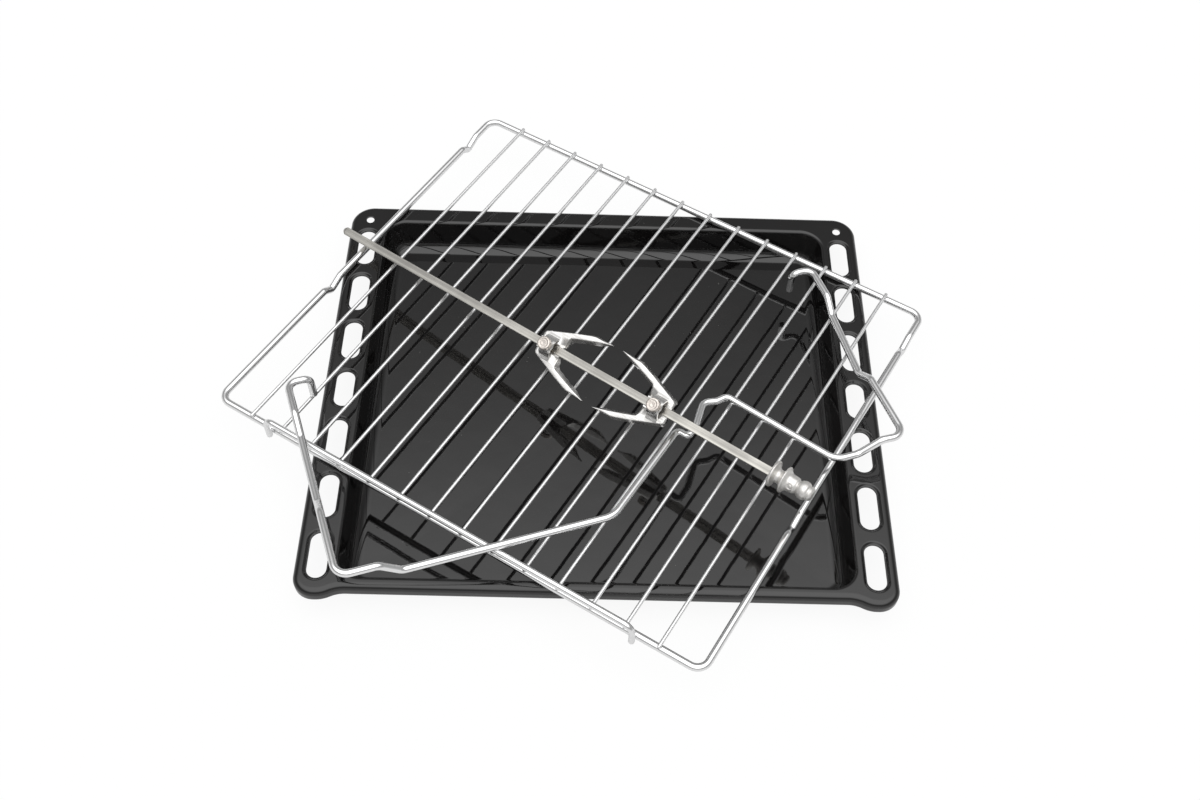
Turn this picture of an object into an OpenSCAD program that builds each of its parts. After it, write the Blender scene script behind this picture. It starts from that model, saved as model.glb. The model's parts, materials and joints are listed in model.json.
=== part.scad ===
// Oven accessory set: an enamelled baking tray with a wire shelf laid across it at an angle,
// a bent wire spit cradle lying on the shelf, and a square spit with two clamped forks.
// Millimetres. Origin under the middle of the tray, Z up, tray front at -Y.

// Piece to show, or all of them

/* [Tray] */
// Width over the side flanges
tray_width = 454; // [400:1:500]
// Depth from the front lobes to the back edge
tray_depth = 391.4; // [340:0.2:440]
// Height from the underside to the top of the flange
tray_height = 30; // [26:0.5:50]
// Steel sheet with its enamel
sheet = 1; // [0.8:0.1:1.5]
// From each side edge to the pan opening
side_margin = 29.5; // [29:0.5:38]
// From the back edge to the pan opening
back_margin = 16; // [14:0.5:26]
// From the front edge to the pan opening
front_margin = 7.1; // [6.9:0.1:15]
// Corner radius of the pan opening
pan_corner = 21; // [20:0.5:40]
// How far the sloping wall and its fillets reach inwards
wall_reach = 16.5; // [15.5:0.5:19]
// Radius where the flange turns down into the wall
top_bend = 3; // [2:0.5:6]
// Radius where the wall turns into the bottom
bottom_bend = 10; // [6:0.5:12]
// Height of the turned-down outer lip
lip_height = 10; // [7:0.5:14]
// Radius of the shoulder above the lip
lip_shoulder = 5; // [2:0.5:5]
// Radius of the two back corners
back_corner = 20; // [14:0.5:30]
// Radius of the two front corners
lobe_corner = 16; // [10:0.5:17]
// How far the front lobes stand out in front of the front edge
lobe_depth = 5.3; // [4:0.1:10]
// Width of one front lobe up to its S-shaped end
lobe_width = 17.3; // [17.1:0.1:20]
// Width of the S-shaped end of a lobe
lobe_swing = 22; // [16:0.5:28]

/* [Tray slots] */
// Distance of a slot row from the tray's outer edge
slot_edge = 17; // [16.5:0.1:18.4]
// Width of a slot
slot_width = 15; // [10:0.5:16]
// From the front lobes to a row's first slot
slot_front = 13.9; // [13:0.1:18]
// From a row's last slot to the back edge
slot_back = 29.7; // [27:0.1:33]
// Length of the middle slot
mid_slot_length = 34.6; // [24:0.2:38]
// Metal left between two slots
slot_web = 13.8; // [12:0.2:16]
// Width of the pressed rim around a slot
slot_rim = 3; // [2:0.1:3.8]
// How deep the rim is pressed
slot_dish = 1.5; // [0.5:0.1:2.5]
// Diameter of the two hanging holes at the back corners
corner_hole = 6.5; // [4:0.1:8]
// Hanging holes' distance from the back edge
corner_hole_edge = 17; // [11:0.1:18]

/* [Shelf] */
// Length between the centre lines of the short sides
shelf_length = 446.4; // [430:0.2:470]
// Depth between the centre lines of the long sides
shelf_depth = 387.8; // [370:0.2:410]
// Diameter of the frame wire
frame_wire = 6; // [5:0.1:7]
// Bend radius of the frame corners
frame_corner = 10; // [7:0.5:25]
// Turn of the shelf on the tray
shelf_turn = -30.83; // [-33:0.1:-29]
// Diameter of the cross wires
cross_wire = 3; // [2.5:0.1:4]
// Distance from one cross wire to the next
wire_pitch = 28.9; // [28:0.1:30]
// How far the cross wires reach past the frame's centre line
wire_overhang = 2.1; // [0.5:0.1:2.6]
// Depth of the stop dips in the short sides
dip_depth = 5.5; // [3:0.1:6]
// Far dips' distance from the shelf's middle
far_dip = 153.5; // [140:0.5:160]
// Near dips' distance in front of the shelf's middle
near_dip = 51.8; // [45:0.5:60]

/* [Stop rail] */
// Diameter of the rail wire
rail_wire = 5; // [4:0.1:6]
// Height of the rail's centre over the frame's centre
rail_rise = 19.3; // [15:0.1:22]
// Distance between the centres of the rail's legs
rail_length = 335.2; // [310:0.2:345]
// Bend radius at the rail's two ends
rail_bend = 8; // [5:0.5:12]

/* [Cradle] */
// Diameter of the cradle wire
cradle_wire_size = 6; // [5:0.1:6.5]
// Length of the cradle's bar between its corners
cradle_length = 445; // [430:0.5:455]
// Length of its two legs
cradle_leg = 187; // [176:0.5:190]
// Height of the corners over the bar
corner_lift = 13; // [10:0.1:16]
// Height of the legs' lowered stretches over the bar
leg_lift = 5; // [3:0.1:8]
// Length of the turned-in leg ends
hook_reach = 17.5; // [14:0.5:22]
// Length of the hooks' free ends
hook_drop = 22; // [12:0.2:23]
// Height of the bump in the bar
bump_height = 84; // [76:0.5:86]
// Depth of the spit notch in the bump
notch_depth = 9; // [5:0.2:10]

/* [Spit] */
// Width across the flats of the square bar
bar_size = 7; // [6:0.1:7.6]
// Length of the bar up to its end fitting
bar_length = 444.4; // [435:0.1:449]
// Turn of the bar about its own length
spit_roll = 32; // [28:0.5:35]
// Turn of the spit seen from above, against the shelf
spit_turn = -5.17; // [-6:0.01:-4]
// Diameter of the fitting's two flanges
flange_size = 21.6; // [18:0.2:24]
// Diameter of the fitting's end journal
journal_size = 11.2; // [9:0.1:13]
// Length of the end fitting
fitting_length = 35; // [33:0.1:38]
// Diameter of the cross pin in the fitting
pin_size = 3.2; // [2.4:0.1:4]
// Turn of the cross pin about the bar
pin_turn = 28; // [0:1:45]

/* [Forks] */
// Sheet that the forks are pressed from
fork_sheet = 1.2; // [1:0.1:1.4]
// Half width over a fork's prongs
prong_reach = 26; // [24:0.5:27]
// Length of a fork from its back to its tips
fork_length = 60.2; // [58:0.2:63]
// Depth of the pressed prongs
prong_depth = 6; // [4.5:0.1:6.4]
// Free space between the tips of the two forks
tip_gap = 9.2; // [8.6:0.1:12]
// Left fork's back, measured from the bar's tip
fork_place = 219.9; // [218:0.1:222]
// Diameter of the clamp screw heads
screw_head = 11.2; // [9:0.1:11.6]
// Thickness of the clamp screw heads
screw_head_height = 4.2; // [3:0.1:5]
// Diameter of the clamp screw shanks
screw_shank = 5; // [4:0.1:5.6]

/* [Hidden] */
$fn = 40;

// Clearance between pieces that rest on each other
rest = 0.3;
// Radial clearance of pieces that slide or turn
run = 0.05;
// Depth by which a welded wire sinks into the other
weld = 0.2;
// Extra radius of a bend and the length of straight wire inside it
lap = 0.03;
tuck = 0.4;
// Width of the flat strip that joins the tray's bent edges to its flat sheet
strip = 1.2;

enamel = [0.11, 0.11, 0.12];
chrome = [0.86, 0.87, 0.88];
satin = [0.72, 0.71, 0.68];
pressed = [0.84, 0.83, 0.81];

// Tray edges
half_width = tray_width / 2;
half_depth = tray_depth / 2;
front_edge = -half_depth + lobe_depth;
pan_back = half_depth - back_margin;
pan_front = front_edge + front_margin;
pan_side = half_width - side_margin;
slot_row = half_width - slot_edge;
// Six long slots share the depth that the margins, the webs and the middle slot leave
slot_length = (tray_depth - slot_front - slot_back - mid_slot_length) / 6 - slot_web;
// Lobe end: two equal arcs, each half of the swing wide and half of the lobe's depth deep
swing_r = (pow(lobe_swing / 2, 2) + pow(lobe_depth / 2, 2)) / lobe_depth;
swing_angle = asin(lobe_swing / 2 / swing_r);
lobe_x = half_width - lobe_width;
// Slope of the pan wall that fits its height and reach with both bends
bends = top_bend + bottom_bend;
wall_drop = tray_height - sheet - bends;
wall_angle = atan2(wall_drop, wall_reach) + asin(bends / norm([wall_reach, wall_drop]));

// Shelf, in its own frame: u along the long sides, v towards the far side
half_u = shelf_length / 2;
half_v = shelf_depth / 2;
frame_r = frame_wire / 2;
wire_r = cross_wire / 2;
rail_r = rail_wire / 2;
frame_z = tray_height + rest + frame_r;
wire_z = frame_z + frame_r + wire_r - weld;
wire_top = wire_z + wire_r;
rail_z = frame_z + rail_rise;
rail_v = -half_v - frame_r - rail_r + weld;
// The left near dip hangs just outside the tray's left edge
dip_clear = 7.7;
dip_y = 98.1;
shelf_x = -half_width - dip_clear + half_u * cos(shelf_turn) - near_dip * sin(shelf_turn);
shelf_y = dip_y + half_u * sin(shelf_turn) + near_dip * cos(shelf_turn);

// Cradle: three resting places in the shelf's frame give its plane
cradle_r = cradle_wire_size / 2;
cradle_turn = 49.8;
on_rail = rail_z + rail_r + rest + cradle_r;
on_wires = wire_top + rest + cradle_r;
seat_bar = [46.7, rail_v, on_rail];
seat_left = [-130, rail_v, on_rail - leg_lift];
seat_right = [160.5, 142.5, on_wires - leg_lift];
cradle_n = unit(cross(seat_bar - seat_left, seat_right - seat_left));
cradle_e = unit([cos(cradle_turn), sin(cradle_turn),
    -(cradle_n[0] * cos(cradle_turn) + cradle_n[1] * sin(cradle_turn)) / cradle_n[2]]);
cradle_f = cross(cradle_n, cradle_e);
cradle_u = -24.2;
cradle_v = -286.7;
cradle_o = [cradle_u, cradle_v, seat_bar[2] - (cradle_n[0] * (cradle_u - seat_bar[0])
    + cradle_n[1] * (cradle_v - seat_bar[1])) / cradle_n[2]];
// Sideways splay of the left and the right leg
left_splay = -2.2;
right_splay = 4.7;
// How far the right corner lies in front of the bar, and the right leg's bends off its line
right_drop = 2.3;
right_steps = [-1.8, -4.3, 0, 1];
// Where each leg goes down to its lowered stretch and up again, on a leg 186 long
left_jogs = [58, 71.5, 136, 154];
right_jogs = [58, 71.5, 137.5, 153];
// Places along the bar: where each corner's slope starts and ends, and the corners of the bump
left_slope = 30;
left_foot = 46;
right_slope = 19;
right_foot = 36;
bump_start = 206.5;
notch_lip = 280.8;
notch_place = 286.7;
notch_rise = 297.5;
crest_start = 311;
crest_dip = 321.5;
crest_end = 331.5;
bump_end = 389;
// How far the bump's lower corners lie below its crest
lip_drop = 21;
notch_drop = 20.5;
rise_drop = 20;
dip_drop = 2;
// Bend radii of the hooks, the legs, the corners and the slopes
hook_bend = 6;
leg_bend = 8;
corner_bend = 10;
slope_bend = 9;

// Spit: it rests on the first cross wire and on the left fork's near prong
half_bar = bar_size / 2;
web_top = 1.5;
prong_low = web_top - prong_depth;
tip_u = -247.3;
tip_v = 0.7;
bar_drop = half_bar * (cos(spit_roll) + sin(spit_roll));
prong_drop = prong_reach * sin(spit_roll) - prong_low * cos(spit_roll);
prong_side = -prong_reach * cos(spit_roll) - prong_low * sin(spit_roll);
first_wire = (-6.5 * wire_pitch - tip_u) / cos(spit_turn);
prong_wire = (0.5 * wire_pitch - tip_u + prong_side * sin(spit_turn)) / cos(spit_turn);
spit_slope = (prong_drop - bar_drop) / (prong_wire - first_wire);
spit_pitch = atan(spit_slope);
tip_z = wire_top + rest + bar_drop / cos(spit_pitch) - first_wire * spit_slope;
// The bar goes into the end fitting past the cross pin
pin_x = bar_length + fitting_length / 2;
socket = fitting_length / 2 + pin_size;

// Forks, in the spit's frame: x along the bar, y to the far prong, z out of the fork's face
right_fork_place = fork_place + 2 * fork_length + tip_gap;
knee = fork_length - 19.2;
arch_start = 5.8;
arch_end = 16.2;
arch_r = 9.3;
arch_sheet = 1.5;
boss_top = 10.9;
screw_x = (arch_start + arch_end) / 2;
head_z = boss_top + rest;

function unit(a) = a / norm(a);

// Angles that turn the axes onto x, y and z
function turned(x, y, z) = norm([x[0], x[1]]) > 0.0001
    ? [atan2(y[2], z[2]), atan2(-x[2], norm([x[0], x[1]])), atan2(x[1], x[0])]
    : [atan2(-sign(x[2]) * y[0], y[1]), -90 * sign(x[2]), 0];

function bend_angle(a, b, c) = acos(unit(b - a) * unit(c - b));
// Length that a bend takes from each side of its corner
function bend_cut(a, b, c, bend) = bend * tan(bend_angle(a, b, c) / 2);

module rod(p, q, r) {
    along = q - p;
    translate(p)
        rotate([0, atan2(norm([along[0], along[1]]), along[2]), atan2(along[1], along[0])])
            cylinder(h = norm(along), r = r);
}

// Bends are a hair thicker than the wire, so that the straight wire can end inside them
module elbow(a, b, c, bend, r) {
    into = unit(b - a);
    axis = unit(cross(into, c - b));
    inward = cross(axis, into);
    start = b - into * bend_cut(a, b, c, bend);
    translate(start + inward * bend)
        rotate(turned(-inward, into, axis))
            rotate_extrude(angle = bend_angle(a, b, c), $fn = 72)
                translate([bend, 0]) circle(r + lap);
}

// Round wire bent along points; each point is [place, bend radius], closed makes it a ring
module bent_wire(points, r, closed = false) {
    last = len(points) - 1;
    function at(i) = points[(i + last + 1) % (last + 1)];
    function cut(i) = !closed && (i == 0 || i == last) ? 0
        : bend_cut(at(i - 1)[0], at(i)[0], at(i + 1)[0], at(i)[1]);
    for (i = [0 : closed ? last : last - 1]) {
        p = at(i)[0];
        q = at(i + 1)[0];
        along = unit(q - p);
        from = max(0, cut(i) - tuck);
        to = max(0, cut((i + 1) % (last + 1)) - tuck);
        rod(p + along * from, q - along * to, r);
    }
    for (i = closed ? [0 : last] : [1 : last - 1])
        elbow(at(i - 1)[0], at(i)[0], at(i + 1)[0], at(i)[1], r);
}

// Points on an arc between two angles
function arc(centre, r, from, to, steps) =
    [for (i = [0 : steps]) let (a = from + (to - from) * i / steps)
        centre + r * [cos(a), sin(a)]];

module rounded_square(x0, y0, x1, y1, r) {
    translate([x0 + r, y0]) square([x1 - x0 - 2 * r, y1 - y0]);
    translate([x0, y0 + r]) square([x1 - x0, y1 - y0 - 2 * r]);
    for (x = [x0 + r, x1 - r], y = [y0 + r, y1 - r]) translate([x, y]) circle(r, $fn = 72);
}

// Tray seen from above, drawn in by inset all round
module tray_outline(inset) {
    arc_x = lobe_x - lobe_swing / 2;
    tangent = [lobe_x, -half_depth + swing_r]
        - (swing_r - inset) * [sin(swing_angle), cos(swing_angle)];
    translate([-half_width + inset, front_edge + inset])
        square([tray_width - 2 * inset, half_depth - back_corner - front_edge - inset]);
    translate([-half_width + back_corner, front_edge + inset])
        square([tray_width - 2 * back_corner, half_depth - front_edge - 2 * inset]);
    for (side = [-1, 1]) {
        translate([side * (half_width - back_corner), half_depth - back_corner])
            circle(back_corner - inset, $fn = 72);
        translate([side * (half_width - lobe_corner), -half_depth + lobe_corner])
            circle(lobe_corner - inset, $fn = 72);
        sided(side) {
            translate([lobe_x, -half_depth + inset])
                square([lobe_width - lobe_corner, lobe_depth + inset]);
            translate([lobe_x, -half_depth + lobe_corner])
                square([lobe_width - inset, lobe_depth]);
            translate([lobe_x, -half_depth + swing_r]) circle(swing_r - inset, $fn = 72);
            difference() {
                polygon([[lobe_x, -half_depth + swing_r], tangent,
                    [lobe_x - lobe_swing, front_edge + inset],
                    [lobe_x - lobe_swing, -half_depth + swing_r]]);
                translate([lobe_x - lobe_swing, front_edge - swing_r])
                    circle(swing_r + inset, $fn = 72);
            }
        }
    }
}

// Shoulder and lip in section; the outer edge is x = 0 and the metal lies at -x
module rim_section(grow = 0) {
    centre = [-lip_shoulder, tray_height - lip_shoulder];
    low = tray_height - lip_height;
    back = -lip_shoulder - strip;
    polygon(concat([[-sheet - grow, low]],
        arc(centre, lip_shoulder - sheet - grow, 0, 90, 6),
        [[back, tray_height - sheet - grow], [back, tray_height + grow]],
        arc(centre, lip_shoulder + grow, 90, 0, 6), [[grow, low]]));
}

// Pan wall in section; the opening's edge is x = 0 and the wall runs down towards -x
module wall_section() {
    top = [0, tray_height - top_bend];
    foot = [-wall_reach, sheet + bottom_bend];
    polygon(concat([[strip, tray_height]], arc(top, top_bend, 90, 90 + wall_angle, 6),
        arc(foot, bottom_bend, 270 + wall_angle, 270, 8),
        [[-wall_reach - strip, sheet], [-wall_reach - strip, 0]],
        arc(foot, bottom_bend + sheet, 270, 270 + wall_angle, 8),
        arc(top, top_bend - sheet, 90 + wall_angle, 90, 6),
        [[strip, tray_height - sheet]]));
}

// Straight stretch of a section from a place, heading by angle from -Y
module straight(place, angle, length) {
    translate([place[0], place[1], 0]) rotate([0, 0, angle]) rotate([90, 0, 0])
        linear_extrude(length) children();
}

// The other side of the tray is the mirror image of this one
module sided(side) {
    if (side > 0) children();
    else mirror([1, 0, 0]) children();
}

module corner(place, from, angle, r) {
    translate([place[0], place[1], 0]) rotate([0, 0, from])
        rotate_extrude(angle = angle, $fn = 96) translate([r, 0]) children();
}

module tray_rim() {
    straight([-half_width + back_corner, half_depth], 90, tray_width - 2 * back_corner)
        rim_section();
    straight([lobe_x - lobe_swing + tuck, front_edge], -90,
        2 * (lobe_x - lobe_swing + tuck)) rim_section();
    for (side = [1, -1]) sided(side) {
        straight([half_width, half_depth - back_corner], 0,
            tray_depth - back_corner - lobe_corner) rim_section();
        corner([half_width - back_corner, half_depth - back_corner], 0, 90, back_corner)
            rim_section();
        corner([half_width - lobe_corner, -half_depth + lobe_corner], -90, 90, lobe_corner)
            rim_section();
        straight([half_width - lobe_corner, -half_depth], -90,
            lobe_width - lobe_corner + tuck) rim_section();
        translate([lobe_x, -half_depth + swing_r, 0]) rotate([0, 0, -90 - swing_angle]) {
            rotate_extrude(angle = swing_angle, $fn = 96)
                translate([swing_r, 0]) rim_section(lap);
            translate([2 * swing_r, 0, 0]) rotate([0, 0, 180])
                rotate_extrude(angle = swing_angle, $fn = 96)
                    translate([swing_r, 0]) mirror([1, 0]) rim_section(lap);
        }
    }
}

module pan_wall() {
    wide = 2 * (pan_side - pan_corner);
    deep = pan_back - pan_front - 2 * pan_corner;
    for (side = [1, -1]) sided(side) {
        straight([pan_side, pan_back - pan_corner], 0, deep) wall_section();
        corner([pan_side - pan_corner, pan_back - pan_corner], 0, 90, pan_corner)
            wall_section();
        corner([pan_side - pan_corner, pan_front + pan_corner], -90, 90, pan_corner)
            wall_section();
    }
    straight([-pan_side + pan_corner, pan_back], 90, wide) wall_section();
    straight([pan_side - pan_corner, pan_front], -90, wide) wall_section();
}

// Middles and lengths of the seven slots in a row, from the front
slots = [for (k = [0 : 6]) let (length = k == 3 ? mid_slot_length : slot_length)
    [slot_front - half_depth + k * (slot_length + slot_web) + length / 2
        + (k > 3 ? mid_slot_length - slot_length : 0), length]];

module slot_outline(length, grow) {
    straight_length = length - slot_width;
    square([slot_width + 2 * grow, straight_length], center = true);
    for (end = [-0.5, 0.5]) translate([0, end * straight_length])
        circle(slot_width / 2 + grow);
}

// Sloping rim pressed down around a slot
module slot_band(length) {
    straight_length = length - slot_width;
    module band() {
        inner = slot_width / 2;
        outer = inner + slot_rim;
        polygon([[inner, tray_height - slot_dish], [inner, tray_height - slot_dish - sheet],
            [outer, tray_height - sheet], [outer + strip / 2, tray_height - sheet],
            [outer + strip / 2, tray_height], [outer, tray_height]]);
    }
    for (turn = [0, 180]) rotate([0, 0, turn]) {
        straight([0, straight_length / 2], 0, straight_length) band();
        corner([0, straight_length / 2], 0, 180, 0) band();
    }
}

module tray_pan() {
    color(enamel) {
        translate([0, 0, tray_height - sheet]) linear_extrude(sheet) difference() {
            tray_outline(lip_shoulder + strip / 2);
            rounded_square(-pan_side - strip / 2, pan_front - strip / 2,
                pan_side + strip / 2, pan_back + strip / 2, pan_corner + strip / 2);
            for (side = [-1, 1]) {
                for (slot = slots) translate([side * slot_row, slot[0]])
                    slot_outline(slot[1], slot_rim + strip / 4);
                translate([side * slot_row, half_depth - corner_hole_edge])
                    circle(corner_hole / 2);
            }
        }
        for (side = [-1, 1], slot = slots) translate([side * slot_row, slot[0], 0])
            slot_band(slot[1]);
        tray_rim();
        pan_wall();
        flat = wall_reach + strip / 2;
        linear_extrude(sheet) rounded_square(-pan_side + flat, pan_front + flat,
            pan_side - flat, pan_back - flat, pan_corner - flat);
    }
}

// The shelf's own frame
module on_shelf() {
    translate([shelf_x, shelf_y, 0]) rotate([0, 0, shelf_turn]) children();
}

module shelf_frame() {
    // A dip falls gently from its far side and returns steeply
    function dip(u, v) = [[[u, v + 13.3, frame_z], 8], [[u, v, frame_z - dip_depth], 3.6],
        [[u, v - 8.5, frame_z], 6]];
    function rise(u, v) = [for (i = [2 : -1 : 0]) dip(u, v)[i]];
    color(chrome) on_shelf() bent_wire(concat(
        [[[-half_u, -half_v, frame_z], frame_corner], [[half_u, -half_v, frame_z],
            frame_corner]],
        rise(half_u, -near_dip), rise(half_u, far_dip),
        [[[half_u, half_v, frame_z], frame_corner], [[-half_u, half_v, frame_z],
            frame_corner]],
        dip(-half_u, far_dip), dip(-half_u, -near_dip)), frame_r, closed = true);
}

module cross_wire_at(number) {
    u = (number - 7.5) * wire_pitch;
    reach = half_v + wire_overhang;
    color(chrome) on_shelf() rod([u, -reach, wire_z], [u, reach, wire_z], wire_r);
}

module cross_wire_01() { cross_wire_at(1); }
module cross_wire_02() { cross_wire_at(2); }
module cross_wire_03() { cross_wire_at(3); }
module cross_wire_04() { cross_wire_at(4); }
module cross_wire_05() { cross_wire_at(5); }
module cross_wire_06() { cross_wire_at(6); }
module cross_wire_07() { cross_wire_at(7); }
module cross_wire_08() { cross_wire_at(8); }
module cross_wire_09() { cross_wire_at(9); }
module cross_wire_10() { cross_wire_at(10); }
module cross_wire_11() { cross_wire_at(11); }
module cross_wire_12() { cross_wire_at(12); }
module cross_wire_13() { cross_wire_at(13); }
module cross_wire_14() { cross_wire_at(14); }

module stop_rail() {
    end = rail_length / 2;
    low = frame_z - frame_r;
    color(chrome) on_shelf() bent_wire([[[-end, rail_v, low], 0],
        [[-end, rail_v, rail_z], rail_bend], [[end, rail_v, rail_z], rail_bend],
        [[end, rail_v, low], 0]], rail_r);
}

module cradle_wire() {
    function at(s, t, n) = cradle_o + s * cradle_e + t * cradle_f + n * cradle_n;
    function leg(s, splay, t) = s + splay * t / cradle_leg;
    function left(t, n) = at(leg(0, left_splay, t), t, n);
    function right(t, n, out = 0) = at(leg(cradle_length, right_splay, t) + out, t, n);
    step = cradle_leg / 186;
    left_end = at(left_splay + hook_reach, cradle_leg, corner_lift);
    right_end = at(cradle_length + right_splay - hook_reach, cradle_leg, corner_lift);
    peak = bump_height;
    color(chrome) on_shelf() bent_wire([
        [left_end - [0, 0, hook_drop], 0], [left_end, hook_bend],
        [left(cradle_leg, corner_lift), leg_bend],
        [left(left_jogs[3] * step, corner_lift), leg_bend],
        [left(left_jogs[2] * step, leg_lift), leg_bend],
        [left(left_jogs[1] * step, leg_lift), leg_bend],
        [left(left_jogs[0] * step, corner_lift), leg_bend],
        [left(0, corner_lift), corner_bend],
        [at(left_slope, 0, corner_lift), slope_bend], [at(left_foot, 0, 0), slope_bend],
        [at(bump_start, 0, 0), 20], [at(notch_lip, peak - lip_drop, 0), 4],
        [at(notch_place, peak - notch_drop - notch_depth, 0), 3.5],
        [at(notch_rise, peak - rise_drop, 0), 14], [at(crest_start, peak, 0), 8],
        [at(crest_dip, peak - dip_drop, 0), 6], [at(crest_end, peak, 0), 5],
        [at(bump_end, 0, 0), 16],
        [at(cradle_length - right_foot, 0, 0), slope_bend],
        [at(cradle_length - right_slope, -right_drop / 2, corner_lift), slope_bend],
        [right(-right_drop, corner_lift), corner_bend],
        [right(right_jogs[0] * step, corner_lift, right_steps[0]), leg_bend],
        [right(right_jogs[1] * step, leg_lift, right_steps[1]), leg_bend],
        [right(right_jogs[2] * step, leg_lift, right_steps[2]), leg_bend],
        [right(right_jogs[3] * step, corner_lift, right_steps[3]), leg_bend],
        [right(cradle_leg, corner_lift), leg_bend],
        [right_end, hook_bend], [right_end - [0, 0, hook_drop], 0]], cradle_r);
}

// The spit's own frame
module on_spit() {
    on_shelf() translate([tip_u, tip_v, tip_z])
        rotate([spit_roll, -spit_pitch, spit_turn]) children();
}

module square_bar(from, to, grow) {
    translate([from, -half_bar - grow, -half_bar - grow])
        cube([to - from, bar_size + 2 * grow, bar_size + 2 * grow]);
}

module spit_bar() {
    blunt = bar_size * 0.3;
    end = bar_length + socket;
    color(satin) on_spit() difference() {
        intersection() {
            square_bar(0, end, 0);
            rotate([0, 90, 0]) rotate_extrude() polygon([[0, 0], [blunt, 0],
                [bar_size, (bar_size - blunt) * 1.4], [bar_size, end], [0, end]]);
        }
        pin_hole();
    }
}

// Place and direction of the cross pin
module at_pin() {
    translate([pin_x, 0, 0]) rotate([pin_turn, 0, 0]) children();
}

module pin_hole() {
    at_pin() translate([0, 0, -flange_size / 2]) cylinder(h = flange_size, r = pin_size / 2 + run);
}

module spit_end() {
    flange_r = flange_size / 2;
    journal_r = journal_size / 2;
    end = fitting_length;
    color(satin) on_spit() difference() {
        translate([bar_length, 0, 0]) rotate([0, 90, 0]) rotate_extrude() {
            polygon([[0, 0], [flange_r - 0.6, 0], [flange_r, 0.6], [flange_r, 1.8],
                [flange_r - 0.6, 2.4], [7.2, 2.7], [5.9, 4], [5.6, 6.6], [6.2, 8.4],
                [7.4, 9.3], [flange_r - 0.6, 9.6], [flange_r, 10.2], [flange_r, 11.4],
                [flange_r - 0.6, 12], [8.6, 12.6], [7.2, 14.4], [6.8, 17.5], [6.6, 20.2],
                [5.4, 21.8], [5.4, 23], [journal_r, 24], [journal_r, end - 1.6],
                [journal_r - 1.2, end - 0.3], [journal_r - 2.4, end], [0, end]]);
            intersection() {
                translate([0, end - 7.4]) circle(7.4);
                translate([0, end - 14]) square([9, 9.9]);
            }
        }
        square_bar(bar_length - 1, bar_length + socket + rest, run);
        pin_hole();
    }
}

module end_pin() {
    color(satin) on_spit() at_pin() translate([0, 0, -6.6])
        cylinder(h = 13.2, r = pin_size / 2);
}

// One prong from above, without its bevels; in draws it in for the hollow
module prong_outline(in) {
    polygon([[0 + in, 4.8], [0 + in, 8.6], [2.4 + in * 0.8, 12 - in],
        [knee - in * 0.3, prong_reach - in * 1.1], [fork_length - in * 9, prong_reach - 0.4 - in],
        [knee + 2.6, prong_reach - 6.9 + in], [27, 12.8 + in], [25.2, 11.2 + in],
        [24.2 - in * 0.2, 9.4 + in * 0.6], [23.8 - in, 7.3], [22.6 - in, 4.8]]);
}

module prong() {
    difference() {
        intersection() {
            translate([0, 0, prong_low]) linear_extrude(prong_depth) prong_outline(0);
            rotate([90, 0, 0]) translate([0, 0, -prong_reach - 1])
                linear_extrude(prong_reach + 1) polygon([[0, web_top], [fork_length, web_top],
                    [fork_length, web_top - 1], [knee + 6, prong_low], [0, prong_low]]);
        }
        translate([0, 0, prong_low - 1]) linear_extrude(prong_depth + 1 - fork_sheet)
            prong_outline(fork_sheet);
        // Bevel along the outer edge
        translate([2.4, 12, web_top]) rotate([0, 0, atan2(prong_reach - 12, knee - 2.4)])
            rotate([-60, 0, 0]) translate([-6, -6, -0.9]) cube([fork_length + 10, 12, 6]);
    }
}

module fork() {
    cheek = half_bar + run;
    difference() {
        union() {
            prong();
            mirror([0, 1, 0]) prong();
            for (y = [cheek, -cheek - fork_sheet - 0.2])
                translate([0, y, -half_bar - run - fork_sheet])
                    cube([22.6, fork_sheet + 0.2, half_bar + run + fork_sheet + web_top]);
            translate([0, -cheek - fork_sheet, -half_bar - run - fork_sheet])
                cube([22.6, bar_size + 2 * (run + fork_sheet), fork_sheet]);
            translate([arch_start, 0, 0]) rotate([90, 0, 90])
                linear_extrude(arch_end - arch_start) difference() {
                    circle(arch_r);
                    circle(arch_r - arch_sheet);
                    translate([-arch_r - 1, -arch_r - 1]) square([2 * arch_r + 2, arch_r + 1.7]);
                }
            translate([screw_x, 0, arch_r - arch_sheet])
                cylinder(h = boss_top - arch_r + arch_sheet, r = screw_head / 2 - 0.6);
        }
        square_bar(-1, 24, run);
        translate([screw_x, 0, 0]) cylinder(h = boss_top + 1, r = screw_shank / 2 + run);
    }
}

module clamp_screw() {
    head_r = screw_head / 2;
    translate([screw_x, 0, 0]) rotate_extrude() polygon([[0, half_bar + run * 2],
        [screw_shank / 2 - 0.5, half_bar + run * 2], [screw_shank / 2, half_bar + 0.6],
        [screw_shank / 2, head_z], [head_r - 0.4, head_z], [head_r, head_z + 0.4],
        [head_r, head_z + screw_head_height - 1], [head_r - 0.3, head_z + screw_head_height - 0.3],
        [head_r - 1, head_z + screw_head_height], [head_r - 1.8, head_z + screw_head_height],
        [head_r - 2.1, head_z + screw_head_height - 0.3], [0, head_z + screw_head_height - 0.3]]);
}

module left_fork() {
    color(pressed) on_spit() translate([fork_place, 0, 0]) fork();
}

module left_clamp_screw() {
    color(satin) on_spit() translate([fork_place, 0, 0]) clamp_screw();
}

module right_fork() {
    color(pressed) on_spit() translate([right_fork_place, 0, 0]) rotate([0, 0, 180]) fork();
}

module right_clamp_screw() {
    color(satin) on_spit() translate([right_fork_place, 0, 0]) rotate([0, 0, 180])
        clamp_screw();
}

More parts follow.
